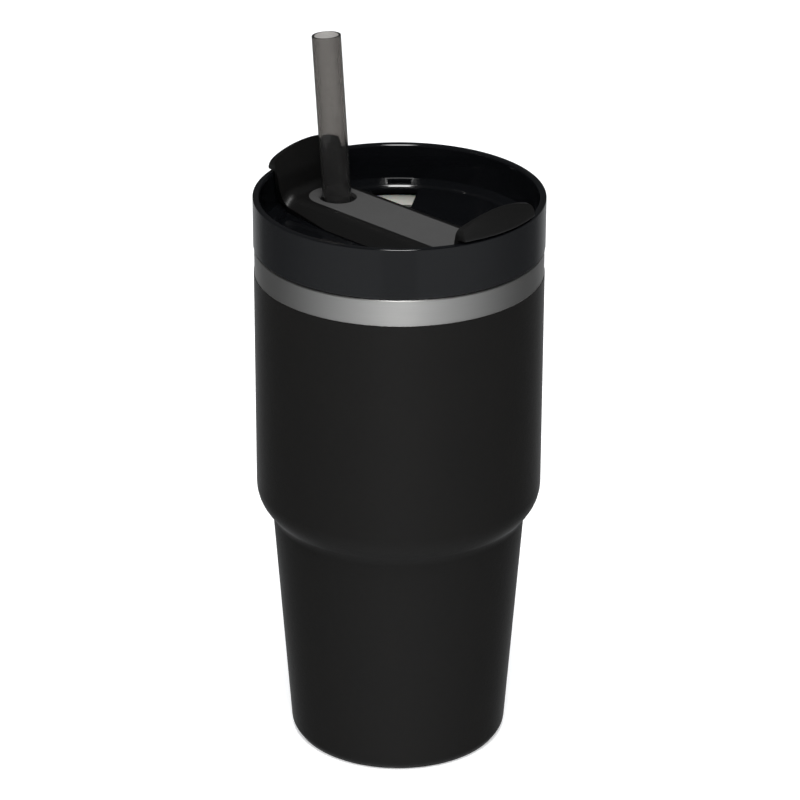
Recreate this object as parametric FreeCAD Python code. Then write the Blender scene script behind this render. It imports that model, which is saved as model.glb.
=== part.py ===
"""Insulated travel tumbler: a double-wall steel mug, a tinted screw-on lid with a turning cover, and a straw.

Frame: +Z up, millimetres, origin at the centre of the standing ring. The cover's bar lies along X, with
its straw hole towards -X. Every function makes one separate piece, which is written to parts/NODE.step.
"""

import FreeCAD
import Part
import math
import os

V = FreeCAD.Vector
Z_AXIS = V(0, 0, 1)

# Driving dimensions of the mug
RIM_Z = 184.2            # top of the steel rim
BAND_Z = 174.8           # lower edge of the bare steel band
BAND_R = 49.2            # outer radius of the bare band
COAT_R = 49.4            # outer radius of the powder-coated barrel
SHOULDER_Z = 91.2        # where the barrel's line meets the shoulder's line
SHOULDER_SLOPE = 44.0    # shoulder below horizontal, degrees
SHOULDER_OUT_R = 12.2    # rounding at the top of the shoulder
SHOULDER_IN_R = 6.2      # rounding at the foot of the shoulder
BASE_R = 37.7            # lower barrel's radius, continued to the ground
BASE_TAPER = 0.0733      # growth of that radius per millimetre of height
BASE_CORNER = 4.0
SHELL_WALL = 0.6
VACUUM_GAP = 3.6
LINER_WALL = 0.5
LINER_FLOOR = 8.7        # inside floor of the cup
LINER_CORNER = 8.0
FOOT_R = 33.0            # inner radius of the standing ring
BASE_PLATE_Z = 4.0       # upper face of the plate welded into the foot
PORT_DISH = 1.0          # how far that plate is dished down round the evacuation port
GETTER_X = 16.0          # getter's place on the plate, from the axis
GETTER_R = 4.6
GETTER_WALL = 0.4

# Driving dimensions of the lid
LID_R = 49.5
LID_TOP = 202.1
FLANGE_Z = 184.7         # underside of the lid's flange
DECK_UNDER = 185.1       # underside of the deck
DECK_Z = 187.5           # top of the deck
LEDGE_R = 44.2           # foot of the sloping ledge round the deck
WELL_R = 47.2            # inner radius of the wall above its foot
SKIRT_R = 43.3
SKIRT_WALL = 2.0
SKIRT_BOTTOM = 171.0
STEP_Z = 189.6           # where the wall thickens towards its foot
LUG_ANGLES = (135, 315)  # stops on the ledge, degrees about Z
LUG_HALF_ANGLE = 5.3
MOUTH_IN_R = 23.0        # drink opening: its inner and outer radius
MOUTH_OUT_R = 41.4
MOUTH_START = 126.0      # and where it starts and ends, degrees about Z
MOUTH_END = 149.0
CHANNEL_HALF = 5.9       # half the width of the channel that the straw passes through
WINDOW_LOW = 181.0       # window in the skirt behind the drink opening
WINDOW_HIGH = 186.3
HUB_R = 6.38             # cover's pivot post
HUB_HOLE_R = 6.45
BOSS_BOTTOM = 179.0

# Screw thread between lid and liner: two starts, right-handed
LEAD = 10.0
STARTS = 2
LID_THREAD_CREST = 44.3
LINER_THREAD_CREST = 43.65
THREAD_BASE = 2.2        # ridge width at its root
THREAD_TOP = 1.0         # ridge width at its crest
THREAD_OFFSET = 1.75     # liner ridge above lid ridge, which leaves 0.3 mm between their flanks
LID_THREAD_Z = 172.4
THREAD_TURNS = 0.42      # ends below the bead that holds the gasket

# Driving dimensions of the turning cover
BAR_TOP = 192.7
BAR_BOTTOM = 187.8
BAR_TOP_HALF = 11.0      # half the bar's width where its top meets its flank
BAR_BASE_HALF = 15.9     # half its width at its foot
BAR_EDGE_R = 4.0         # rounding between top and flank
END_R = 46.6             # radius of the bar's ends, inside the lid's wall
HOOK_R = 49.7            # radius of the finger tabs over the rim
HOOK_Z = 202.9           # underside of the finger tabs
TAB_EDGE_Z = 203.6       # foot of the tab's crowned outer face
CREST_X = 45.3           # the tab's crest, from the lid's axis
CREST_Z = 210.2
TAB_FACE_X = 42.5        # the tab's inner face, from the lid's axis
TAB_FACE_R = 200.0       # its curve in plan
TAB_HOLLOW = 3.0         # hollow where the tab rises from the bar
TAB_HALF = 17.4          # half a tab's width under its crest
TAB_FOOT_HALF = 12.8     # half its width at its foot
TAB_WAIST_HALF = 16.2    # and where its edge turns upright
TAB_WAIST_Z = 196.7
TAB_BACK_R = 48.45       # outer face of the tab, from the lid's axis, where its crown begins
TAB_BACK_Z = 207.3
CREST_R = 43.0           # arc of the crest, seen along the bar
CREST_FALL = 21.0        # slope of the crest's line at the tab's edge, degrees
INSERT_HALF = 8.9        # half the grey panel's width
INSERT_END_X = 31.3      # centre of the panel's round ends
INSERT_DEEP = 1.4
SEAL_X = 29.5            # centre of each silicone pad under the bar
SEAL_SIZE = (12.5, 9.5)  # its half length and half width
SEAL_LOW = DECK_Z + 0.12
SEAL_SEAT = BAR_BOTTOM + 0.9
POST_BORE_R = 3.0        # pivot post's bore, which takes the retainer's stem
POST_BOTTOM = BOSS_BOTTOM - 0.15
GROOVE = (182.0, 183.3)  # the post's groove for its O-ring, from and to
GROOVE_R = 5.35
STRAW_X = 30.3           # straw hole from the lid's axis, at the bar's top
STRAW_TILT = 4.9         # degrees, leaning out at its top
STRAW_R = 5.0
STRAW_BORE_R = 4.1
STRAW_HOLE_R = 5.2       # hole through the bar and its panel
STRAW_TOP = 249.8
STRAW_FOOT = 9.8
COVER_TRAVEL = 42.0      # degrees, towards the drink opening


# ---------------------------------------------------------------- outlines

def meet(p, u, q, v):
    """Point where the line through p along u meets the line through q along v, in (radius, height)."""
    cross = u[0] * v[1] - u[1] * v[0]
    along = ((q[0] - p[0]) * v[1] - (q[1] - p[1]) * v[0]) / cross
    return (p[0] + u[0] * along, p[1] + u[1] * along)


def rounded(points, plane="xz"):
    """Edges through points, each (a, b) or (a, b, corner radius), with arcs at the rounded corners."""
    def place(a, b):
        return V(a, 0, b) if plane == "xz" else V(a, b, 0) if plane == "xy" else V(0, a, b)

    count = len(points)
    corners = []
    for i, point in enumerate(points):
        here = place(*point[:2])
        radius = point[2] if len(point) > 2 else 0
        if not radius:
            corners.append((here, here, None))
            continue
        before = place(*points[i - 1][:2]) - here
        after = place(*points[(i + 1) % count][:2]) - here
        half = before.getAngle(after) / 2
        before.normalize()
        after.normalize()
        reach = radius / math.tan(half)
        middle = before + after
        middle.normalize()
        top = here + middle * (radius / math.sin(half) - radius)
        corners.append((here + before * reach, here + after * reach, top))
    edges = []
    for i, (start, end, top) in enumerate(corners):
        if top is not None:
            edges.append(Part.Arc(start, top, end).toShape())
        following = corners[(i + 1) % count][0]
        if (following - end).Length > 1e-6:
            edges.append(Part.LineSegment(end, following).toShape())
    return edges


def face(points, plane="xz"):
    return Part.Face(Part.Wire(Part.__sortEdges__(rounded(points, plane))))


def turned(points):
    """Solid of revolution about Z from an outline in (radius, height)."""
    return face(points).revolve(V(0, 0, 0), Z_AXIS, 360)


def cylinder(radius, low, high, centre=(0, 0)):
    return Part.makeCylinder(radius, high - low, V(centre[0], centre[1], low))


def ring(inner, outer, low, high):
    return cylinder(outer, low, high).cut(cylinder(inner, low, high))


def prism(points, plane, start, length):
    """Outline pushed along the normal of its plane: X for yz, Y for xz, Z for xy."""
    way = {"yz": V(1, 0, 0), "xz": V(0, 1, 0), "xy": V(0, 0, 1)}[plane]
    solid = face(points, plane)
    solid.translate(way * start)
    return solid.extrude(way * length)


def barrel_line(inset, floor, top, corner, top_radius=COAT_R):
    """Half outline of the mug's stepped barrel, moved inwards by inset, from the axis at the floor to the top."""
    slope = math.radians(SHOULDER_SLOPE)
    lean = math.atan(BASE_TAPER)
    lower = (BASE_R - inset / math.cos(lean), 0)
    lower_way = (BASE_TAPER, 1)
    shoulder = (COAT_R - inset * math.sin(slope), SHOULDER_Z + inset * math.cos(slope))
    shoulder_way = (math.cos(slope), math.sin(slope))
    barrel = (COAT_R - inset, 0)
    foot = meet(lower, lower_way, (0, floor), (1, 0))
    neck = meet(lower, lower_way, shoulder, shoulder_way)
    head = meet(barrel, (0, 1), shoulder, shoulder_way)
    return [
        (0, floor),
        (*foot, corner),
        (*neck, SHOULDER_IN_R + inset),
        (*head, SHOULDER_OUT_R - inset),
        (top_radius - inset, top),
    ]


def tilted(solid):
    """Moves a solid made about the Z axis at the origin onto the straw's leaning axis."""
    solid.rotate(V(0, 0, 0), V(0, 1, 0), -STRAW_TILT)
    solid.translate(V(-STRAW_X, 0, BAR_TOP))
    return solid


def thread(crest, root, z_start, turns):
    """Two helical ridges that rise as they turn counter-clockwise, each from root to crest radius."""
    ridges = []
    for start in range(STARTS):
        spine = Part.makeHelix(LEAD, LEAD * turns, root)
        outline = [
            V(root, 0, -THREAD_BASE / 2),
            V(crest, 0, -THREAD_TOP / 2),
            V(crest, 0, THREAD_TOP / 2),
            V(root, 0, THREAD_BASE / 2),
        ]
        profile = Part.makePolygon([*outline, outline[0]])
        ridge = Part.Wire(spine).makePipeShell([profile], True, True)
        ridge.rotate(V(0, 0, 0), Z_AXIS, 360 / STARTS * start)
        ridge.translate(V(0, 0, z_start))
        ridges.append(ridge)
    return ridges


# ---------------------------------------------------------------- the mug

def outer_shell():
    """Pressed steel shell: coated barrel with a slightly thinner bare band at the top and a turned-in foot."""
    lip_height = BASE_PLATE_Z
    outside = barrel_line(0, 0, BAND_Z, BASE_CORNER)[1:]
    inside = barrel_line(SHELL_WALL, SHELL_WALL, RIM_Z, BASE_CORNER - SHELL_WALL, BAND_R)[1:]
    outline = [
        (FOOT_R, 0),
        *outside,
        (BAND_R, BAND_Z + 0.2),
        (BAND_R, RIM_Z, 0.7),
        *reversed(inside),
        (FOOT_R + SHELL_WALL, SHELL_WALL),
        (FOOT_R + SHELL_WALL, lip_height),
        (FOOT_R, lip_height),
    ]
    return turned(outline)


def inner_liner():
    """Steel cup inside the shell, with a flange welded to the shell's top and a rolled thread in its mouth."""
    inset = SHELL_WALL + VACUUM_GAP
    flange_r = BAND_R - SHELL_WALL
    outside = barrel_line(inset, LINER_FLOOR - LINER_WALL, RIM_Z - LINER_WALL, LINER_CORNER + LINER_WALL)
    inside = barrel_line(inset + LINER_WALL, LINER_FLOOR, RIM_Z, LINER_CORNER)
    mouth = inside[-1]
    outline = [
        *outside,
        (flange_r, RIM_Z - LINER_WALL),
        (flange_r, RIM_Z),
        (*mouth, 0.6),
        *reversed(inside[:-1]),
    ]
    cup = turned(outline)
    for ridge in thread(LINER_THREAD_CREST, mouth[0] + LINER_WALL / 2, LID_THREAD_Z + THREAD_OFFSET, THREAD_TURNS):
        cup = cup.fuse(ridge)
    return cup


def shell_base():
    """Pressed plate welded into the foot; its middle is dished down round the evacuation port."""
    dish_r = 7.0
    port_r = 1.2
    top = BASE_PLATE_Z
    dish = PORT_DISH
    under = top - SHELL_WALL
    rim_bottom = 1.6
    outline = [
        (port_r, top - dish),
        (port_r, under - dish),
        (dish_r, under - dish, 0.8),
        (dish_r + dish, under),
        (FOOT_R - SHELL_WALL, under),
        (FOOT_R - SHELL_WALL, rim_bottom),
        (FOOT_R, rim_bottom),
        (FOOT_R, top, 0.7),
        (dish_r + dish, top),
        (dish_r, top - dish),
    ]
    return turned(outline)


def port_seal():
    """Glass bead that closes the evacuation port from inside the vacuum."""
    bead_r = 2.6
    stem_r = 1.15
    seat = BASE_PLATE_Z - PORT_DISH
    low = seat - 0.7
    high = seat + 0.7
    return turned([(0, low), (stem_r, low), (stem_r, seat), (bead_r, seat), (bead_r, high, 0.6), (0, high)])


def base_cover():
    """Finished disc over the port, set up inside the standing ring."""
    radius = FOOT_R - SHELL_WALL - 0.15
    low = 0.8
    high = 1.5
    return turned([(0, low), (radius, low, 0.3), (radius, high), (0, high)])


def getter_holder():
    """Small cup spot-welded inside the vacuum; it holds the getter pill."""
    low = BASE_PLATE_Z
    floor = low + GETTER_WALL
    high = low + 2.6
    inner = GETTER_R - GETTER_WALL
    holder = turned([(0, low), (GETTER_R, low), (GETTER_R, high), (inner, high), (inner, floor), (0, floor)])
    holder.translate(V(GETTER_X, 0, 0))
    return holder


def getter_pill():
    """Porous metal pill that keeps the vacuum; it lies in the holder with a small gap round it."""
    low = BASE_PLATE_Z + GETTER_WALL
    high = low + 2.0
    radius = GETTER_R - GETTER_WALL - 0.2
    pill = turned([(0, low), (radius, low), (radius, high, 0.4), (0, high)])
    pill.translate(V(GETTER_X, 0, 0))
    return pill


def copper_foil():
    """Radiation foil round the liner, in the vacuum."""
    low = 24.0
    high = 168.0
    gap = 0.1
    thick = 0.1
    inset = SHELL_WALL + VACUUM_GAP - gap
    outside = barrel_line(inset - thick, low, high, 0)[1:]
    inside = barrel_line(inset, low, high, 0)[1:]
    return turned([*outside, *reversed(inside)])


# ---------------------------------------------------------------- the lid

def deck_opening():
    """Cutter for the drink opening: a wide mouth beside the bar that narrows to a channel under the straw."""
    low = DECK_UNDER - 1
    high = DECK_Z + 1
    channel_r = STRAW_X - (BAR_TOP - DECK_Z) * math.tan(math.radians(STRAW_TILT))
    far = math.radians(180 - COVER_TRAVEL)
    end = (channel_r * math.cos(far), channel_r * math.sin(far))
    channel = ring(channel_r - CHANNEL_HALF, channel_r + CHANNEL_HALF, low, high)
    channel = channel.common(wedge(180 - COVER_TRAVEL, 180, low, high))
    channel = channel.fuse(cylinder(CHANNEL_HALF, low, high, (-channel_r, 0)))
    channel = channel.fuse(cylinder(CHANNEL_HALF, low, high, end))
    corner = 0.8
    mouth = ring(MOUTH_IN_R, MOUTH_OUT_R, low, high).common(wedge(MOUTH_START, MOUTH_END, low, high))
    upright = [e for e in mouth.Edges if abs(e.BoundBox.ZLength - (high - low)) < 1e-6]
    mouth = mouth.makeFillet(corner, upright)
    return channel.fuse(mouth).removeSplitter()


def wedge(start, end, low, high):
    """Sector of a cylinder wide enough to cover the lid, between two angles in degrees about Z."""
    sector = Part.makeCylinder(60, high - low, V(0, 0, low), Z_AXIS, end - start)
    sector.rotate(V(0, 0, 0), Z_AXIS, start)
    return sector


def lid_body():
    """Tinted one-piece lid: wall, deck with its opening and pivot boss, and a threaded skirt below.

    A window in the skirt lets drink reach the opening from the cup's edge, and shows the gasket behind it.
    """
    bead_z = 180.2
    bead_r = 43.9
    inner = SKIRT_R - SKIRT_WALL
    boss_r = 9.5
    outline = [
        (HUB_HOLE_R, DECK_Z),
        (HUB_HOLE_R, BOSS_BOTTOM),
        (boss_r, BOSS_BOTTOM, 0.5),
        (boss_r, DECK_UNDER, 1.0),
        (inner, DECK_UNDER, 1.0),
        (inner, SKIRT_BOTTOM),
        (SKIRT_R, SKIRT_BOTTOM, 0.8),
        (SKIRT_R, bead_z - 0.6),
        (bead_r, bead_z - 0.2),
        (bead_r, bead_z + 0.2),
        (SKIRT_R, bead_z + 0.3),
        (SKIRT_R, FLANGE_Z),
        (LID_R, FLANGE_Z, 0.5),
        (LID_R, LID_TOP, 0.85),
        (WELL_R - 0.1, LID_TOP, 0.85),
        (WELL_R, STEP_Z, 0.6),
        (LEDGE_R, DECK_Z + 0.6, 0.5),
        (LEDGE_R - 0.4, DECK_Z, 0.5),
    ]
    lid = turned(outline)
    lug_low = DECK_Z - 0.4
    lug_top = STEP_Z - 0.2
    lug = ring(LEDGE_R + 0.6, WELL_R + 0.5, lug_low, lug_top)
    for angle in LUG_ANGLES:
        lid = lid.fuse(lug.common(wedge(angle - LUG_HALF_ANGLE, angle + LUG_HALF_ANGLE, lug_low, lug_top)))
    window = ring(MOUTH_OUT_R - 2, SKIRT_R + 0.1, WINDOW_LOW, WINDOW_HIGH)
    window = window.common(wedge(MOUTH_START, MOUTH_END, WINDOW_LOW, WINDOW_HIGH))
    lid = lid.cut(deck_opening()).cut(window)
    for ridge in thread(LID_THREAD_CREST, SKIRT_R - 0.4, LID_THREAD_Z, THREAD_TURNS):
        lid = lid.fuse(ridge)
    return lid


def lid_gasket():
    """Silicone ring round the skirt; its thin lip lies between the flange and the steel rim."""
    band_in = SKIRT_R + 0.1
    band_out = 44.5
    lip_r = 48.3
    return turned([
        (band_in, 180.6),
        (band_out, 180.6, 0.4),
        (band_out, RIM_Z),
        (lip_r, RIM_Z),
        (lip_r, FLANGE_Z),
        (band_in, FLANGE_Z),
    ])


# ---------------------------------------------------------------- the turning cover

def cover_end():
    """Half of the cover, towards +X: half the bar, and the finger tab that rises from its end in a hollow.

    Both are made larger than they end up, below the bar and past its end, and are then trimmed.
    """
    low = BAR_BOTTOM - 6.0
    high = CREST_Z + 2.0
    far = CREST_X + 15.0
    flank = (BAR_BASE_HALF - BAR_TOP_HALF) / (BAR_TOP - BAR_BOTTOM)
    low_half = BAR_TOP_HALF + flank * (BAR_TOP - low)
    section = [
        (-low_half, low),
        (-BAR_TOP_HALF, BAR_TOP, BAR_EDGE_R),
        (BAR_TOP_HALF, BAR_TOP, BAR_EDGE_R),
        (low_half, low),
    ]
    side = [
        (TAB_FACE_X, low),
        (TAB_FACE_X, HOOK_Z - 2.5, 9.0),
        (CREST_X + 0.4, high),
        (far, high),
        (far, low),
    ]
    centre = V(TAB_FACE_X - TAB_FACE_R, 0, 0)
    half_angle = 9.0
    outline = face(side)
    outline.rotate(centre, Z_AXIS, -half_angle)
    tab = outline.revolve(centre, Z_AXIS, 2 * half_angle)
    solid = prism(section, "yz", 0, END_R + 4).fuse(tab)
    hollow = []
    for edge in solid.Edges:
        ends = [vertex.Point for vertex in edge.Vertexes]
        on_face = all(abs((p - centre - V(0, 0, p.z)).Length - TAB_FACE_R) < 1e-4 for p in ends)
        between = all(p.z < BAR_TOP + 0.01 and abs(p.y) < low_half + 0.01 for p in ends)
        rising = max(p.z for p in ends) > low + 0.01
        if on_face and between and rising:
            hollow.append(edge)
    solid = solid.makeFillet(TAB_HOLLOW, hollow)
    for flip in (1, -1):
        solid = solid.common(side_trim(flip))
    return solid.common(tab_envelope())


def side_trim(flip):
    """Everything inside one side of the cover: the tab's edge, swept so that it closes in towards the bar's end."""
    far = 60.0
    low = BAR_BOTTOM - 10
    tip_corner = 2.6
    edge_line = [(TAB_FOOT_HALF - 0.4, low, 0), (TAB_FOOT_HALF, BAR_BOTTOM, 6.0), (TAB_WAIST_HALF, TAB_WAIST_Z, 14.0)]
    fall = math.radians(CREST_FALL)
    apex = CREST_Z - 0.1 + CREST_R * (1 / math.cos(fall) - 1)
    edge = [
        (-far * flip, low),
        *[(half * flip, z, radius) for half, z, radius in edge_line],
        (TAB_HALF * flip, apex - TAB_HALF * math.tan(fall), tip_corner),
        (0, apex, CREST_R - 0.1),
        (-far * flip, apex - far * math.tan(fall)),
    ]
    closing = 0.13
    ahead = 20.0
    behind = TAB_FACE_X + 5
    outline = face(edge, "yz")
    outline.translate(V(TAB_FACE_X, 0, 0))
    forward = outline.extrude(V(ahead, -ahead * closing * flip, 0))
    backward = outline.extrude(V(-behind, behind * closing * flip, 0))
    return forward.fuse(backward)


def tab_envelope():
    """Round limit of both tabs: clear of the ledge, inside the wall, over the rim, then crowned to the crest."""
    crown_slope = 0.89
    top = CREST_Z + 1.0
    return turned([
        (0, BAR_BOTTOM),
        (LEDGE_R - 0.8, BAR_BOTTOM),
        (LEDGE_R - 0.3, STEP_Z + 0.4),
        (END_R, STEP_Z + 0.9),
        (END_R, HOOK_Z, 0.6),
        (HOOK_R, HOOK_Z, 0.3),
        (HOOK_R, TAB_EDGE_Z),
        (TAB_BACK_R, TAB_BACK_Z, 12.0),
        (CREST_X - (top - CREST_Z) / crown_slope, top),
        (0, top),
    ])


def straw_bore(radius):
    """Cylinder along the straw's leaning axis, right through the bar and its pads."""
    return tilted(cylinder(radius, -12, 6))


def stadium(centre_x, half_length, half_width):
    """Flat round-ended plate along X, 1 mm thick, to be stretched by raise_to."""
    reach = half_length - half_width
    return (cylinder(half_width, 0, 1, (centre_x - reach, 0))
            .fuse(cylinder(half_width, 0, 1, (centre_x + reach, 0)))
            .fuse(Part.makeBox(2 * reach, 2 * half_width, 1, V(centre_x - reach, -half_width, 0)))
            .removeSplitter())


def insert_outline(grow=0.0):
    return stadium(0, INSERT_END_X + INSERT_HALF + grow, INSERT_HALF + grow)


def raise_to(solid, low, high):
    """Stretches a 1 mm thick plate to lie between two heights."""
    flat = max((f for f in solid.Faces if abs(f.BoundBox.ZMax) < 1e-6), key=lambda f: f.Area)
    flat.translate(V(0, 0, low))
    return flat.extrude(V(0, 0, high - low))


def cover_body():
    """Black cover: bar, a finger tab at each end and the hollow pivot post under its middle."""
    end = cover_end()
    other_end = end.copy()
    other_end.rotate(V(0, 0, 0), Z_AXIS, 180)
    solid = end.fuse(other_end).removeSplitter()
    post = cylinder(HUB_R, POST_BOTTOM, BAR_BOTTOM + 0.5)
    post = post.cut(cylinder(POST_BORE_R, POST_BOTTOM, BAR_BOTTOM - 1.0))
    post = post.cut(ring(GROOVE_R, HUB_R + 1, *GROOVE))
    solid = solid.fuse(post)
    solid = solid.cut(raise_to(insert_outline(0.05), BAR_TOP - INSERT_DEEP, BAR_TOP + 5))
    for side in (-1, 1):
        solid = solid.cut(raise_to(stadium(side * SEAL_X, *SEAL_SIZE), BAR_BOTTOM - 1, SEAL_SEAT))
    return solid.cut(straw_bore(STRAW_HOLE_R))


def cover_insert():
    """Grey soft-touch panel in the cover's top, dished round the straw hole."""
    panel = raise_to(insert_outline(), BAR_TOP - INSERT_DEEP, BAR_TOP)
    dish_low = BAR_TOP - 1.35
    dish = Part.makeCone(STRAW_R, STRAW_R + 1.6, 1.6, V(-STRAW_X, 0, dish_low))
    return panel.cut(straw_bore(STRAW_HOLE_R)).cut(dish)


def seal_pad(side):
    """Silicone pad under one end of the bar, for the straw's opening or for the closed drink opening."""
    return raise_to(stadium(side * SEAL_X, *SEAL_SIZE), SEAL_LOW, SEAL_SEAT)


def straw_seal():
    return seal_pad(-1).cut(straw_bore(STRAW_R + 0.08))


def sip_seal():
    return seal_pad(1)


def hub_seal():
    """O-ring in the pivot post's groove."""
    section_r = 0.48
    return Part.makeTorus(GROOVE_R + section_r + 0.05, section_r, V(0, 0, sum(GROOVE) / 2))


def hub_retainer():
    """Snap cap under the deck's boss; its stem is pressed into the pivot post."""
    cap_r = 8.6
    cap_low = POST_BOTTOM - 1.4
    stem_high = POST_BOTTOM + 6.0
    return turned([
        (0, cap_low),
        (cap_r, cap_low, 0.5),
        (cap_r, POST_BOTTOM),
        (POST_BORE_R, POST_BOTTOM),
        (POST_BORE_R, stem_high, 0.4),
        (0, stem_high),
    ])


def straw():
    """Straight tinted tube with softened ends, leaning out through the cover."""
    lean = math.cos(math.radians(STRAW_TILT))
    low = (STRAW_FOOT - BAR_TOP) / lean
    high = (STRAW_TOP - BAR_TOP) / lean
    ends = 0.3
    return tilted(turned([
        (STRAW_BORE_R, low, ends),
        (STRAW_R, low, ends),
        (STRAW_R, high, ends),
        (STRAW_BORE_R, high, ends),
    ]))


PIECES = {
    "outer_shell": outer_shell,
    "inner_liner": inner_liner,
    "shell_base": shell_base,
    "port_seal": port_seal,
    "base_cover": base_cover,
    "getter_holder": getter_holder,
    "getter_pill": getter_pill,
    "copper_foil": copper_foil,
    "lid_body": lid_body,
    "lid_gasket": lid_gasket,
    "cover_body": cover_body,
    "cover_insert": cover_insert,
    "straw_seal": straw_seal,
    "sip_seal": sip_seal,
    "hub_seal": hub_seal,
    "hub_retainer": hub_retainer,
    "straw": straw,
}

os.makedirs("parts", exist_ok=True)
for node, make in PIECES.items():
    shape = make()
    solids = shape.Solids
    whole = solids[0] if len(solids) == 1 else Part.makeCompound(solids)
    whole.exportStep("parts/" + node + ".step")
    print(f"{node}: {len(solids)} solid, {whole.Volume / 1000:.2f} cm3, valid {whole.isValid()}")
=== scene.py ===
"""Looks of the insulated travel mug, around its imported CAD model, in metres in its own frame."""

import bmesh
import bpy
import math
from mathutils import Matrix, Vector


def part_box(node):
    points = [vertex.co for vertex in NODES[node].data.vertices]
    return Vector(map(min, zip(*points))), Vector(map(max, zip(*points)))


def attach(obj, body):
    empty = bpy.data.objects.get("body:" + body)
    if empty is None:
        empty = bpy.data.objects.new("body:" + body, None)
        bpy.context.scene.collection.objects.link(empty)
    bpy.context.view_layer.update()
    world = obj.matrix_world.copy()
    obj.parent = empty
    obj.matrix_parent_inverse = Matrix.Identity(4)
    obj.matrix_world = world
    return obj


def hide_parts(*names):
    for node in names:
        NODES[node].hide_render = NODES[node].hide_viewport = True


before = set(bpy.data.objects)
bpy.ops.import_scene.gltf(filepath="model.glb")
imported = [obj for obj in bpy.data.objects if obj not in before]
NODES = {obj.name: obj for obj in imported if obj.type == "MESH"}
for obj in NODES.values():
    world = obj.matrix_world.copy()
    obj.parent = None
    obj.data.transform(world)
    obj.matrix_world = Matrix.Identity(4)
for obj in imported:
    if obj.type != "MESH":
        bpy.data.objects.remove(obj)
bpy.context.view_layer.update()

# Heights that several pieces share, from the frame
BAND_HEIGHT = 0.0094                     # bare steel between the coat and the rim
RIM_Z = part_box("inner_liner")[1].z
BAND_LOW_Z = RIM_Z - BAND_HEIGHT
LID_TOP_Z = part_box("lid_body")[1].z

# Where the camera stands: the cover's bar runs at 45 degrees to the view
VIEW_TURN = math.radians(45.0)
VIEW_HEIGHT = math.radians(24.755)


# ---------------------------------------------------------------- nodes

def new_material(name):
    """An empty material with one Principled shader; gives the material, its tree and the shader."""
    material = bpy.data.materials.new(name)
    material.use_nodes = True
    tree = material.node_tree
    return material, tree, tree.nodes["Principled BSDF"]


def node(tree, kind, inputs=(), **settings):
    """Adds a node with its settings; inputs are (name or number, value or socket) pairs."""
    made = tree.nodes.new(kind)
    for key, value in settings.items():
        setattr(made, key, value)
    for key, value in inputs:
        if isinstance(value, bpy.types.NodeSocket):
            tree.links.new(value, made.inputs[key])
        else:
            made.inputs[key].default_value = value
    return made


def place(tree):
    """The object's own coordinates, in metres, which stay with the piece as it moves."""
    return node(tree, "ShaderNodeTexCoord").outputs["Object"]


def vector_times(tree, vector, scale):
    return node(tree, "ShaderNodeVectorMath", [(0, vector), (1, scale)],
                operation="MULTIPLY").outputs[0]


def stretched(tree, scale):
    """The object's coordinates times a scale for each axis, for noise drawn out one way."""
    return vector_times(tree, place(tree), scale)


def noise(tree, scale, detail=2.0, roughness=0.5, vector=None):
    """Noise between 0 and 1, with scale in cells per metre unless another vector is given."""
    made = node(tree, "ShaderNodeTexNoise", [("Vector", vector or place(tree)), ("Scale", scale),
                                             ("Detail", detail), ("Roughness", roughness)])
    return made.outputs["Fac"]


def spread(tree, value, low, high, start=0.0, end=1.0, smooth=False):
    """Maps a value between start and end to low and high."""
    made = node(tree, "ShaderNodeMapRange", [("Value", value), ("To Min", low), ("To Max", high),
                                             ("From Min", start), ("From Max", end)])
    made.interpolation_type = "SMOOTHSTEP" if smooth else "LINEAR"
    return made.outputs["Result"]


def maths(tree, operation, a, b):
    return node(tree, "ShaderNodeMath", [(0, a), (1, b)], operation=operation).outputs[0]


def plus(tree, a, b):
    return maths(tree, "ADD", a, b)


def times(tree, a, b):
    return maths(tree, "MULTIPLY", a, b)


def mixed(tree, kind, first_input, factor, first, second):
    """A mix node; its values of this kind sit at the first input given and the one after it."""
    inputs = [(0, factor), (first_input, first), (first_input + 1, second)]
    return node(tree, "ShaderNodeMix", inputs, data_type=kind)


def blended(tree, factor, first, second):
    """A colour between two colours or colour sockets."""
    return mixed(tree, "RGBA", 6, factor, first, second).outputs[2]


def between(tree, factor, first, second):
    """A number between two numbers or sockets."""
    return mixed(tree, "FLOAT", 2, factor, first, second).outputs[0]


def normal_between(tree, factor, first, second):
    """A normal between two normal sockets."""
    return mixed(tree, "VECTOR", 4, factor, first, second).outputs[1]


def bump(tree, height, distance, strength):
    """The surface's normal over a relief whose full height is the distance, in metres."""
    return node(tree, "ShaderNodeBump", [("Height", height), ("Distance", distance),
                                         ("Strength", strength)]).outputs["Normal"]


def height_of(tree):
    """Height above the ground at rest, in metres."""
    return node(tree, "ShaderNodeSeparateXYZ", [(0, place(tree))]).outputs["Z"]


def grey(level, warm=0.0):
    """A linear grey; warm raises red and lowers blue by that share."""
    return (level * (1 + warm), level, level * (1 - warm), 1)


def shade_of(tone, share=1.0):
    """A colour of three numbers, made lighter or darker by a share."""
    return tuple(share * c for c in tone) + (1,)


def feed(tree, shader, **sockets):
    """Links sockets to the shader's inputs, with underscores for the spaces in their names."""
    for name, socket in sockets.items():
        tree.links.new(socket, shader.inputs[name.replace("_", " ")])


# ---------------------------------------------------------------- pieces finer than packed

MM = 0.001
TURN_STEPS = 288


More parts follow.
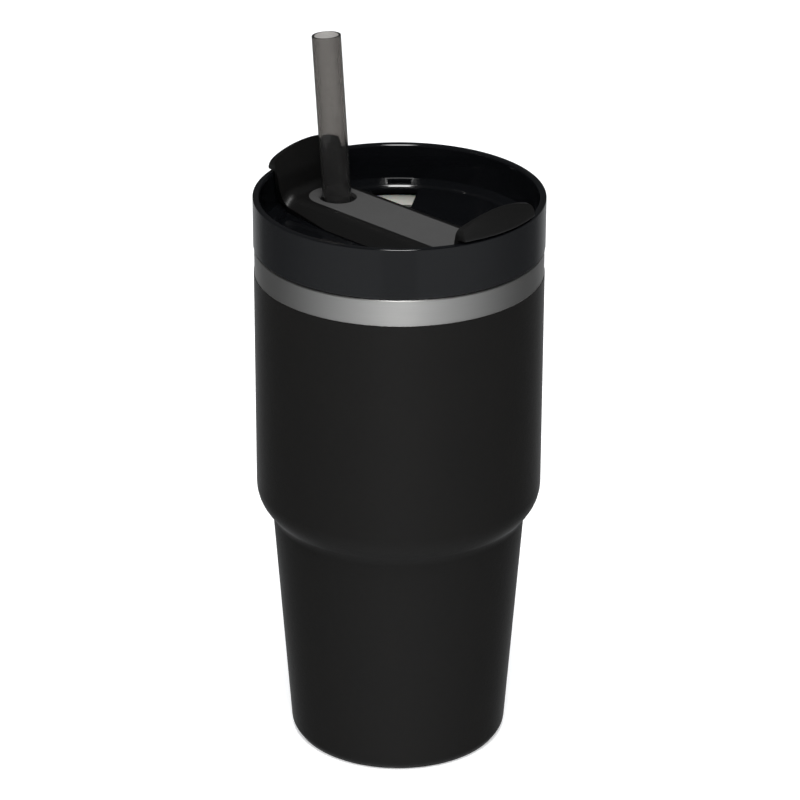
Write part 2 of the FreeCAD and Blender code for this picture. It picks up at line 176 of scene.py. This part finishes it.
def rounded(points, steps=10):
    """Closed outline in (radius, height); a third number at a point rounds its corner."""
    line = []
    for index, point in enumerate(points):
        here = Vector(point[:2])
        if len(point) < 3 or not point[2]:
            line.append(here)
            continue
        before = (Vector(points[index - 1][:2]) - here).normalized()
        after = (Vector(points[(index + 1) % len(points)][:2]) - here).normalized()
        half = before.angle(after) / 2
        centre = here + (before + after).normalized() * (point[2] / math.sin(half))
        start = here + before * (point[2] / math.tan(half)) - centre
        end = here + after * (point[2] / math.tan(half)) - centre
        sweep = start.angle_signed(end)
        count = max(2, round(steps * abs(sweep) / (math.pi / 2)))
        for step in range(count + 1):
            line.append(centre + Matrix.Rotation(-sweep * step / count, 2) @ start)
    return line


def mesh_object(name, points, faces):
    """An object from points and faces, with doubled points merged and its faces turned outwards."""
    mesh = bpy.data.meshes.new(name)
    mesh.from_pydata(points, [], faces)
    shape = bmesh.new()
    shape.from_mesh(mesh)
    bmesh.ops.remove_doubles(shape, verts=shape.verts, dist=1e-7)
    bmesh.ops.recalc_face_normals(shape, faces=shape.faces)
    shape.to_mesh(mesh)
    shape.free()
    made = bpy.data.objects.new(name, mesh)
    bpy.context.scene.collection.objects.link(made)
    return made


def swept(name, rings, closed):
    """A skin over rings of equally many points, capped unless it closes on itself."""
    count = len(rings[0])
    points = [point for ring in rings for point in ring]
    faces = []
    for index in range(len(rings) if closed else len(rings) - 1):
        following = (index + 1) % len(rings)
        for side in range(count):
            next_side = (side + 1) % count
            faces.append((index * count + side, index * count + next_side,
                          following * count + next_side, following * count + side))
    if not closed:
        faces.append(tuple(reversed(range(count))))
        faces.append(tuple((len(rings) - 1) * count + side for side in range(count)))
    return mesh_object(name, points, faces)


def ring_at(outline, angle, lift=0.0):
    """An outline of (radius, height) in millimetres, at an angle about Z, as points in metres."""
    return [Vector((radius * math.cos(angle), radius * math.sin(angle), height + lift)) * MM
            for radius, height in outline]


def turned(name, outline):
    """An outline in millimetres turned all the way round Z."""
    rings = [ring_at(outline, math.tau * step / TURN_STEPS) for step in range(TURN_STEPS)]
    return swept(name, rings, True)


def sector(inner, outer, start, end, low, high):
    """A block between two radii, two angles in degrees and two heights, in millimetres."""
    steps = max(2, round(TURN_STEPS * (end - start) / 360))
    outline = [(inner, low), (outer, low), (outer, high), (inner, high)]
    angles = [math.radians(start + (end - start) * step / steps) for step in range(steps + 1)]
    return swept("sector", [ring_at(outline, angle) for angle in angles], False)


def post(radius, centre, low, high, steps=64):
    """An upright cylinder, in millimetres."""
    angles = [math.tau * step / steps for step in range(steps)]
    rings = [[Vector((centre[0] + radius * math.cos(angle),
                      centre[1] + radius * math.sin(angle), z)) * MM for angle in angles]
             for z in (low, high)]
    return swept("post", rings, False)


def joined(piece, tool, operation):
    """Cuts the tool from the piece, or unites them, and removes the tool."""
    modifier = piece.modifiers.new("joined", "BOOLEAN")
    modifier.operation = operation
    modifier.solver = "EXACT"
    modifier.object = tool
    settle(piece)
    bpy.data.objects.remove(tool)


def settle(piece):
    """Applies the piece's modifiers."""
    bpy.context.view_layer.update()
    depsgraph = bpy.context.evaluated_depsgraph_get()
    done = bpy.data.meshes.new_from_object(piece.evaluated_get(depsgraph))
    piece.modifiers.clear()
    piece.data = done


def shaded(piece, angle=32.0):
    """Smooth shading within faces that meet at less than the angle, with flat faces kept flat."""
    for face in piece.data.polygons:
        face.use_smooth = True
    piece.data.set_sharp_from_angle(angle=math.radians(angle))
    modifier = piece.modifiers.new("weighted", "WEIGHTED_NORMAL")
    modifier.keep_sharp = True
    settle(piece)


def meet(p, u, q, v):
    """Where the line through p along u meets the line through q along v, in (radius, height)."""
    along = ((q[0] - p[0]) * v[1] - (q[1] - p[1]) * v[0]) / (u[0] * v[1] - u[1] * v[0])
    return (p[0] + u[0] * along, p[1] + u[1] * along)


def fine_shell():
    """The stepped barrel, with the bare band a powder coat's thickness inside the coat."""
    coat_r, band_r, base_r, foot_r, wall = 49.4, 49.2, 37.7, 33.0, 0.6
    rim_z, band_z = RIM_Z / MM, BAND_LOW_Z / MM
    base_corner, waist_corner, shoulder_corner, lip_corner = 4.0, 6.2, 12.2, 0.7
    taper, slope = 0.0733, math.radians(44.0)
    shoulder = (coat_r, 91.2)
    waist = meet((base_r, 0), (taper, 1), shoulder, (math.cos(slope), math.sin(slope)))
    inner_shoulder, inner_waist, foot_edge = 95.0, 70.0, 4.0
    outline = [
        (foot_r, 0),
        (base_r, 0, base_corner),
        (*waist, waist_corner),
        (*shoulder, shoulder_corner),
        (coat_r, band_z),
        (band_r, band_z + coat_r - band_r),
        (band_r, rim_z, lip_corner),
        (band_r - wall, rim_z),
        (band_r - wall, band_z),
        (coat_r - 3 * wall, inner_shoulder),
        (base_r, inner_waist),
        (base_r - 2 * wall, wall),
        (foot_r + wall, wall),
        (foot_r + wall, foot_edge),
        (foot_r, foot_edge),
    ]
    shell = turned("shell_fine", rounded(outline))
    shaded(shell)
    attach(shell, "mug")
    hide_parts("outer_shell")
    return shell


def fine_lid():
    """The one-piece lid, with its drink opening, straw channel, window, lugs and screw thread."""
    lid_r, well_r, ledge_r, lid_top, step_z = 49.5, 47.2, 44.2, LID_TOP_Z / MM, 189.6
    deck, deck_under, flange = 187.5, 185.1, 184.7
    hub_r, boss_r, boss_low = 6.45, 9.5, 179.0
    skirt, skirt_in, skirt_low, bead_r, bead_z = 43.3, 41.3, 171.0, 43.9, 180.2
    outline = [
        (hub_r, deck), (hub_r, boss_low), (boss_r, boss_low, 0.5), (boss_r, deck_under, 1.0),
        (skirt_in, deck_under, 1.0), (skirt_in, skirt_low), (skirt, skirt_low, 0.8),
        (skirt, bead_z - 0.6), (bead_r, bead_z - 0.2), (bead_r, bead_z + 0.2),
        (skirt, bead_z + 0.3), (skirt, flange), (lid_r, flange, 0.1), (lid_r, lid_top, 0.35),
        (well_r - 0.1, lid_top, 0.85), (well_r, step_z), (ledge_r, deck + 0.6, 0.8),
        (ledge_r - 0.4, deck, 0.1),
    ]
    lid = turned("lid_fine", rounded(outline))
    lug_half, lug_low, lug_top = 5.3, deck - 0.4, step_z - 0.2
    for angle in (135, 315):
        joined(lid, sector(ledge_r + 0.6, well_r + 0.5, angle - lug_half, angle + lug_half,
                           lug_low, lug_top), "UNION")
    channel_r, channel_half, travel = 29.85, 5.9, 42.0
    mouth_in, mouth_out, mouth_start, mouth_end = 23.0, 41.4, 126, 149
    window_low, window_high = 181.0, 186.3
    far = math.radians(180 - travel)
    low, high = deck_under - 1, deck + 1
    cutters = [
        sector(mouth_in, mouth_out, mouth_start, mouth_end, low, high),
        sector(channel_r - channel_half, channel_r + channel_half, 180 - travel, 180, low, high),
        post(channel_half, (-channel_r, 0), low, high),
        post(channel_half, (channel_r * math.cos(far), channel_r * math.sin(far)), low, high),
        sector(mouth_out - 2, skirt + 0.1, mouth_start, mouth_end, window_low, window_high),
    ]
    for cutter in cutters:
        joined(lid, cutter, "DIFFERENCE")
    lead, turns, steps, thread_z, crest_r, root_r = 10.0, 0.42, 100, 172.4, 44.3, skirt - 0.4
    ridge = [(root_r, -1.1), (crest_r, -0.5), (crest_r, 0.5), (root_r, 1.1)]
    turned_by = [turns * step / steps for step in range(steps + 1)]
    for start in (0, math.pi):
        rings = [ring_at(ridge, start + math.tau * turn, thread_z + lead * turn)
                 for turn in turned_by]
        joined(lid, swept("ridge", rings, False), "UNION")
    shaded(lid)
    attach(lid, "lid")
    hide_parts("lid_body")
    return lid


def fine_insert():
    """The grey panel, with a hole wider than the straw that shows the black bar under it."""
    panel = bpy.data.objects.new("insert_fine", NODES["cover_insert"].data.copy())
    bpy.context.scene.collection.objects.link(panel)
    low, high = (corner.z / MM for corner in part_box("cover_insert"))
    hole_r, straw_x = 6.3, -29.6
    joined(panel, post(hole_r, (straw_x, 0), low - 1, high + 1, 96), "DIFFERENCE")
    shaded(panel)
    panel.data.materials.clear()
    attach(panel, "cover")
    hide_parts("cover_insert")
    return panel


def fine_gasket():
    """The ring round the lid's skirt; its lip ends well inside the dark gap under the flange."""
    inner, outer, lip, low, flange, rim = 43.4, 44.5, 46.0, 180.6, 184.7, RIM_Z / MM
    outline = [(inner, low), (outer, low, 0.4), (outer, rim), (lip, rim), (lip, flange),
               (inner, flange)]
    gasket = turned("gasket_fine", rounded(outline))
    shaded(gasket)
    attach(gasket, "seal_ring")
    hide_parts("lid_gasket")
    return gasket


# ---------------------------------------------------------------- materials

def brushing(tree, fine=7000.0, long=90.0):
    """Noise drawn out into streaks that run round the Z axis."""
    return noise(tree, 1.0, 3.0, 0.6, stretched(tree, (long, long, fine)))


def shell_material():
    """Black powder coat on the barrel, scuffed at the foot, and brushed steel on the band."""
    material, tree, shader = new_material("shell")
    coat_end, fade, ragged_by, scuff_height = BAND_LOW_Z + 0.00020, 0.00007, 0.00012, 0.0022
    edge = plus(tree, height_of(tree), times(tree, noise(tree, 900.0), ragged_by))
    steel = spread(tree, edge, 0.0, 1.0, coat_end, coat_end + fade, True)
    cloud = noise(tree, 45.0, 3.0)
    grain = noise(tree, 2300.0, 3.0, 0.65)
    peel = noise(tree, 520.0, 1.0)
    rubbed = spread(tree, height_of(tree), 1.0, 0.0, 0.0, scuff_height, True)
    chips = spread(tree, noise(tree, 380.0, 4.0, 0.7), 0.0, 1.0, 0.52, 0.68)
    scuffed = times(tree, rubbed, chips)
    patches = spread(tree, cloud, 0.0, 1.0, 0.3, 0.7)
    coat = blended(tree, patches, grey(0.0042, 0.04), grey(0.0047, 0.06))
    coat = blended(tree, times(tree, grain, 0.28), coat, grey(0.012, 0.04))
    coat = blended(tree, scuffed, coat, grey(0.055))
    streaks = brushing(tree)
    metal = blended(tree, streaks, (0.42, 0.415, 0.405, 1), (0.53, 0.525, 0.513, 1))
    uneven = plus(tree, grain, times(tree, cloud, 0.25))
    coat_roughness = spread(tree, uneven, 0.45, 0.61, 0.35, 0.9)
    metal_roughness = spread(tree, streaks, 0.40, 0.56)
    relief = plus(tree, times(tree, grain, 0.45), peel)
    coat_normal = bump(tree, relief, 0.00006, 0.55)
    metal_normal = bump(tree, streaks, 0.000006, 0.5)
    feed(tree, shader, Base_Color=blended(tree, steel, coat, metal), Metallic=steel,
         Roughness=between(tree, steel, coat_roughness, metal_roughness),
         Normal=normal_between(tree, steel, coat_normal, metal_normal),
         Tangent=node(tree, "ShaderNodeTangent", direction_type="RADIAL", axis="Z").outputs[0])
    shader.inputs["Specular IOR Level"].default_value = 0.10
    shader.inputs["Sheen Weight"].default_value = 0.07
    shader.inputs["Sheen Roughness"].default_value = 0.25
    shader.inputs["Anisotropic"].default_value = 0.75
    shader.inputs["Anisotropic Rotation"].default_value = 0.25
    return material


def steel_material(name, tone, roughness, fine=5200.0):
    """Bare drawn steel, polished round the axis."""
    material, tree, shader = new_material(name)
    streaks = brushing(tree, fine)
    stain = noise(tree, 60.0, 3.0)
    colour = blended(tree, streaks, shade_of(tone, 0.86), shade_of(tone))
    colour = blended(tree, spread(tree, stain, 0.0, 0.25, 0.5, 0.75), colour, grey(0.42, 0.04))
    feed(tree, shader, Base_Color=colour,
         Roughness=spread(tree, plus(tree, streaks, stain), *roughness, 0.6, 1.4),
         Normal=bump(tree, streaks, 0.000008, 0.5))
    shader.inputs["Metallic"].default_value = 0.85
    return material


def lid_material():
    """Smoke-black polished plastic, with faint sink marks and hairline scratches."""
    material, tree, shader = new_material("lid_plastic")
    cloud = noise(tree, 70.0, 2.0)
    hairline = noise(tree, 1.0, 2.0, 0.6, stretched(tree, (240.0, 1400.0, 2600.0)))
    scratched = spread(tree, hairline, 0.0, 1.0, 0.66, 0.74)
    colour = blended(tree, cloud, (0.0022, 0.0024, 0.0029, 1), (0.0030, 0.0033, 0.0039, 1))
    roughness = plus(tree, spread(tree, cloud, 0.06, 0.11), times(tree, scratched, 0.04))
    relief = plus(tree, noise(tree, 110.0, 1.0), times(tree, scratched, 0.004))
    feed(tree, shader, Base_Color=colour, Roughness=roughness,
         Normal=bump(tree, relief, 0.00004, 0.25))
    shader.inputs["IOR"].default_value = 1.52
    return material


def cover_material():
    """Satin black plastic with a fine spark-eroded texture, rubbed smoother on the tabs."""
    material, tree, shader = new_material("cover_plastic")
    tabs_low, tabs_high = 0.2055, 0.2100
    spark = noise(tree, 3600.0, 2.0, 0.6)
    cloud = noise(tree, 80.0, 3.0)
    top = spread(tree, height_of(tree), 0.0, 1.0, tabs_low, tabs_high, True)
    rubbed = times(tree, top, spread(tree, cloud, 0.2, 1.0, 0.35, 0.65))
    colour = blended(tree, spark, grey(0.0036, 0.02), grey(0.0056, 0.02))
    roughness = plus(tree, spread(tree, spark, 0.34, 0.50), times(tree, rubbed, -0.08))
    feed(tree, shader, Base_Color=colour, Roughness=roughness,
         Normal=bump(tree, spark, 0.00003, 0.5))
    shader.inputs["Specular IOR Level"].default_value = 0.3
    return material


def insert_material():
    """Warm grey soft-touch rubber, with dust-fine speckle."""
    material, tree, shader = new_material("insert_plastic")
    speckle = noise(tree, 4200.0, 2.0, 0.7)
    cloud = noise(tree, 120.0, 3.0)
    colour = blended(tree, cloud, grey(0.046, 0.01), grey(0.053, 0.01))
    colour = blended(tree, spread(tree, speckle, 0.0, 0.5, 0.45, 0.75), colour, grey(0.078, 0.01))
    feed(tree, shader, Base_Color=colour, Roughness=spread(tree, speckle, 0.52, 0.68),
         Normal=bump(tree, speckle, 0.000035, 0.5))
    shader.inputs["Specular IOR Level"].default_value = 0.35
    return material


def straw_material():
    """Smoke-tinted clear plastic, with faint extrusion lines along it."""
    material, tree, shader = new_material("straw_plastic")
    lines = noise(tree, 1.0, 2.0, 0.5, stretched(tree, (1500.0, 1500.0, 12.0)))
    feed(tree, shader, Roughness=spread(tree, lines, 0.01, 0.05),
         Normal=bump(tree, lines, 0.000012, 0.25))
    shader.inputs["Base Color"].default_value = (0.78, 0.77, 0.76, 1)
    shader.inputs["Transmission Weight"].default_value = 0.985
    shader.inputs["Specular Tint"].default_value = (0.6, 0.6, 0.6, 1)
    shader.inputs["IOR"].default_value = 1.5
    smoke = node(tree, "ShaderNodeVolumeAbsorption",
                 [("Color", (0.06, 0.03, 0.0, 1)), ("Density", 1050.0)])
    tree.links.new(smoke.outputs[0], tree.nodes["Material Output"].inputs["Volume"])
    return material


def silicone_material(name, tone, roughness):
    """Moulded silicone: slightly mottled, with a dry bloom on it."""
    material, tree, shader = new_material(name)
    mottle = noise(tree, 600.0, 3.0)
    feed(tree, shader, Base_Color=blended(tree, mottle, shade_of(tone), shade_of(tone, 1.12)),
         Roughness=spread(tree, mottle, roughness - 0.06, roughness + 0.06),
         Normal=bump(tree, mottle, 0.00003, 0.3))
    shader.inputs["Subsurface Weight"].default_value = 0.15
    shader.inputs["Subsurface Scale"].default_value = 0.001
    return material


def base_cover_material():
    """Black coated disc with a spun face."""
    material, tree, shader = new_material("base_coat")
    rings = node(tree, "ShaderNodeTexWave",
                 [("Vector", place(tree)), ("Scale", 160.0), ("Distortion", 0.4)],
                 wave_type="RINGS", rings_direction="Z").outputs["Fac"]
    grain = noise(tree, 2200.0, 2.0, 0.6)
    feed(tree, shader, Base_Color=blended(tree, grain, grey(0.010), grey(0.017)),
         Roughness=spread(tree, grain, 0.40, 0.58),
         Normal=bump(tree, plus(tree, times(tree, rings, 0.3), grain), 0.00003, 0.4))
    return material


def hidden_metal_material(name, tone, roughness):
    """Foil or sintered metal inside the vacuum."""
    material, tree, shader = new_material(name)
    crease = node(tree, "ShaderNodeTexVoronoi", [("Vector", place(tree)), ("Scale", 220.0)],
                  feature="DISTANCE_TO_EDGE").outputs["Distance"]
    colour = blended(tree, noise(tree, 300.0), shade_of(tone, 0.85), shade_of(tone))
    feed(tree, shader, Base_Color=colour,
         Roughness=spread(tree, noise(tree, 500.0), roughness - 0.08, roughness + 0.08),
         Normal=bump(tree, crease, 0.0002, 0.4))
    shader.inputs["Metallic"].default_value = 1.0
    return material


def glass_material():
    """Green-tinted solder glass."""
    material, tree, shader = new_material("port_glass")
    feed(tree, shader, Roughness=spread(tree, noise(tree, 900.0), 0.08, 0.2))
    shader.inputs["Base Color"].default_value = (0.35, 0.5, 0.42, 1)
    shader.inputs["Transmission Weight"].default_value = 0.8
    return material


def assign_materials():
    """Gives every node its material, and makes the finer pieces that stand for four of them."""
    coat_and_band = shell_material()
    lid = lid_material()
    cover = cover_material()
    black_silicone = silicone_material("black_silicone", (0.011, 0.011, 0.011), 0.55)
    getter = hidden_metal_material("getter_metal", (0.33, 0.32, 0.31), 0.55)
    looks = {
        "outer_shell": coat_and_band,
        "inner_liner": steel_material("liner_steel", (0.63, 0.615, 0.59), (0.22, 0.38)),
        "shell_base": steel_material("base_steel", (0.52, 0.51, 0.50), (0.35, 0.5), 2600.0),
        "port_seal": glass_material(),
        "base_cover": base_cover_material(),
        "getter_holder": getter,
        "getter_pill": getter,
        "copper_foil": hidden_metal_material("foil", (0.82, 0.45, 0.30), 0.25),
        "lid_body": lid,
        "lid_gasket": silicone_material("clear_silicone", (0.74, 0.74, 0.67), 0.42),
        "cover_body": cover,
        "cover_insert": insert_material(),
        "straw_seal": black_silicone,
        "sip_seal": black_silicone,
        "hub_seal": black_silicone,
        "hub_retainer": cover,
        "straw": straw_material(),
    }
    for name, thing in NODES.items():
        for slot in thing.material_slots:
            slot.material = looks[name]
    fine_shell().data.materials.append(coat_and_band)
    fine_lid().data.materials.append(lid)
    fine_insert().data.materials.append(looks["cover_insert"])
    fine_gasket().data.materials.append(looks["lid_gasket"])


# ---------------------------------------------------------------- camera, light and floor

def make_camera():
    """A long lens, aimed a little above the mug's middle."""
    distance, roll_angle = 1.2685, math.radians(0.18)
    target = Vector((0, 0, 0.1258))
    flat = math.cos(VIEW_HEIGHT)
    back = Vector((math.sin(VIEW_TURN) * flat, -math.cos(VIEW_TURN) * flat,
                   math.sin(VIEW_HEIGHT)))
    data = bpy.data.cameras.new("camera")
    data.sensor_width = 36.0
    data.lens = 165.4
    data.shift_x = 0.0014
    data.clip_start = 0.05
    data.clip_end = 20.0
    camera = bpy.data.objects.new("camera", data)
    right = Vector((0, 0, 1)).cross(back).normalized()
    turn = Matrix((right, back.cross(right), back)).transposed()
    roll = Matrix.Rotation(roll_angle, 3, back)
    camera.matrix_world = Matrix.Translation(target + back * distance) @ (roll @ turn).to_4x4()
    bpy.context.scene.collection.objects.link(camera)
    bpy.context.scene.camera = camera


def turned_to_view(x, y, z):
    """A point given as x to the camera's right and y away from it, in the model's frame."""
    return Vector((x * math.cos(VIEW_TURN) - y * math.sin(VIEW_TURN),
                   x * math.sin(VIEW_TURN) + y * math.cos(VIEW_TURN), z))


def area_light(name, place_at, size, radiance, aim=None):
    """A rectangular soft box of a given radiance at any size; without an aim it hangs level."""
    data = bpy.data.lights.new(name, "AREA")
    data.shape = "RECTANGLE"
    data.size, data.size_y = size
    data.energy = radiance * math.pi * size[0] * size[1]
    lamp = bpy.data.objects.new(name, data)
    lamp.location = turned_to_view(*place_at)
    if aim is None:
        lamp.rotation_euler = (0, 0, VIEW_TURN)
    else:
        way = turned_to_view(*aim) - lamp.location
        lamp.rotation_euler = way.to_track_quat("-Z", "Y").to_euler()
    bpy.context.scene.collection.objects.link(lamp)
    return lamp


def make_lights():
    """Two side boxes that gloss doesn't show, and a strip overhead for the highlights."""
    middle = (0, 0, 0.12)
    for name, across in (("left_box", -1.05), ("right_box", 1.05)):
        box = area_light(name, (across, -0.75, 0.62), size=(0.7, 0.9), radiance=2.0, aim=middle)
        box.visible_glossy = False
    area_light("top_strip", (0.0, -0.80, 1.25), size=(0.36, 1.05), radiance=16.0)


def make_world():
    """Pale to the camera, and an even glow on every surface.

    Reflections see a dim room over a table. The table is lighter towards the camera, apart from a
    slightly darker gap straight in front of it, lighter again behind the mug, and brightest below.
    """
    room_level, glow_level, pale_level = 0.05, 0.74, 1.05
    world = bpy.data.worlds.new("world")
    bpy.context.scene.world = world
    world.use_nodes = True
    world.cycles.sampling_method = "NONE"
    tree = world.node_tree
    background = tree.nodes["Background"]
    way = node(tree, "ShaderNodeTexCoord").outputs["Generated"]
    level = node(tree, "ShaderNodeSeparateXYZ", [(0, way)]).outputs["Z"]
    flat = node(tree, "ShaderNodeVectorMath", [(0, vector_times(tree, way, (1, 1, 0)))],
                operation="NORMALIZE").outputs[0]
    front = node(tree, "ShaderNodeVectorMath", [(0, flat), (1, tuple(turned_to_view(0, -1, 0)))],
                 operation="DOT_PRODUCT").outputs["Value"]
    below = spread(tree, level, 1.0, 0.0, -0.16, 0.0, True)
    ahead = spread(tree, front, 0.11, 0.43, -0.5, 1.0, True)
    gap_outside, gap_inside = math.cos(math.radians(16)), math.cos(math.radians(11))
    gap = spread(tree, front, 1.0, 0.86, gap_outside, gap_inside, True)
    behind = spread(tree, front, 0.24, 0.0, -1.0, -0.65, True)
    steep = spread(tree, level, 4.5, 1.0, -0.80, -0.42, True)
    table = times(tree, plus(tree, times(tree, ahead, gap), behind), steep)
    room = between(tree, below, room_level, table)
    seen = node(tree, "ShaderNodeLightPath")
    straight = maths(tree, "MAXIMUM", seen.outputs["Is Camera Ray"],
                     seen.outputs["Is Transmission Ray"])
    lit = between(tree, seen.outputs["Is Diffuse Ray"], room, glow_level)
    tree.links.new(between(tree, straight, lit, pale_level), background.inputs["Strength"])
    background.inputs["Color"].default_value = (0.96, 0.98, 1.0, 1)


def make_floor():
    """Plain white floor that fills the view; reflections see the world's table instead."""
    half = 12.0
    corners = [(-half, -half, 0), (half, -half, 0), (half, half, 0), (-half, half, 0)]
    mesh = bpy.data.meshes.new("floor")
    mesh.from_pydata(corners, [], [(0, 1, 2, 3)])
    floor = bpy.data.objects.new("floor", mesh)
    bpy.context.scene.collection.objects.link(floor)
    material, tree, shader = new_material("floor")
    feed(tree, shader, Base_Color=blended(tree, noise(tree, 5.0), grey(0.91), grey(0.93)))
    shader.inputs["Roughness"].default_value = 0.7
    shader.inputs["Specular IOR Level"].default_value = 0.0
    shader.inputs["Emission Color"].default_value = (1, 1, 1, 1)
    shader.inputs["Emission Strength"].default_value = 0.30
    mesh.materials.append(material)
    floor.visible_glossy = False


bpy.context.scene.view_settings.view_transform = "Standard"
make_camera()
assign_materials()
make_lights()
make_world()
make_floor()
